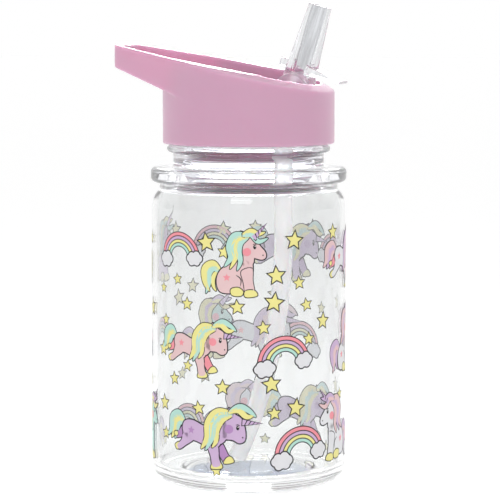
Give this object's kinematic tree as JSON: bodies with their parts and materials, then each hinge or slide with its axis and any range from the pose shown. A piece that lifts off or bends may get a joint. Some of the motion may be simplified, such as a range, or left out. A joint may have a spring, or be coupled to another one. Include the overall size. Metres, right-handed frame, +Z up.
{
  "type": "kids water bottle",
  "caption": "Clear child's drinking bottle with a screw lid, a carry loop, a flip-up spout and a straw, printed with unicorns, rainbows and stars.",
  "frame": {"origin": "centre of the ring that the bottle stands on, on the resting plane", "axes": "+Z up along the bottle's axis; the carry loop points to -X; the spout's hinge axis runs along Y"},
  "size_m": [0.0879, 0.0738, 0.1798],
  "materials": {
    "clear_body": "clear, glossy, faintly blue, printed round the barrel",
    "lid_pink": "satin moulded polypropylene, pastel pink",
    "clear_spout": "clear, glossy",
    "straw_frosted": "translucent, milky",
    "silicone": "translucent white silicone"
  },
  "bodies": {
    "bottle": {"bottle_body": "clear_body"},
    "gasket": {"lid_gasket": "silicone"},
    "lid": {"lid_cap": "lid_pink", "spout_seal": "silicone", "vent_valve": "silicone", "straw": "straw_frosted"},
    "spout": {"spout": "clear_spout"}
  },
  "joints": [
    {"name": "lid_lift", "type": "slide", "parent": "bottle", "child": "gasket", "axis": [0, 0, 1], "range_m": [0, 0.00601]},
    {"name": "lid_turn", "type": "hinge", "parent": "gasket", "child": "lid", "pos_m": [0, 0, 0.13], "axis": [0, 0, 1], "range_deg": [0, 540]},
    {"name": "spout_flip", "type": "hinge", "parent": "lid", "child": "spout", "pos_m": [0.0185, 0, 0.1465], "axis": [0, 1, 0], "range_deg": [-97, 0]}
  ],
  "couplings": [
    {"joint": "lid_lift", "follows": "lid_turn", "m_per_rad": 0.00063662}
  ]
}
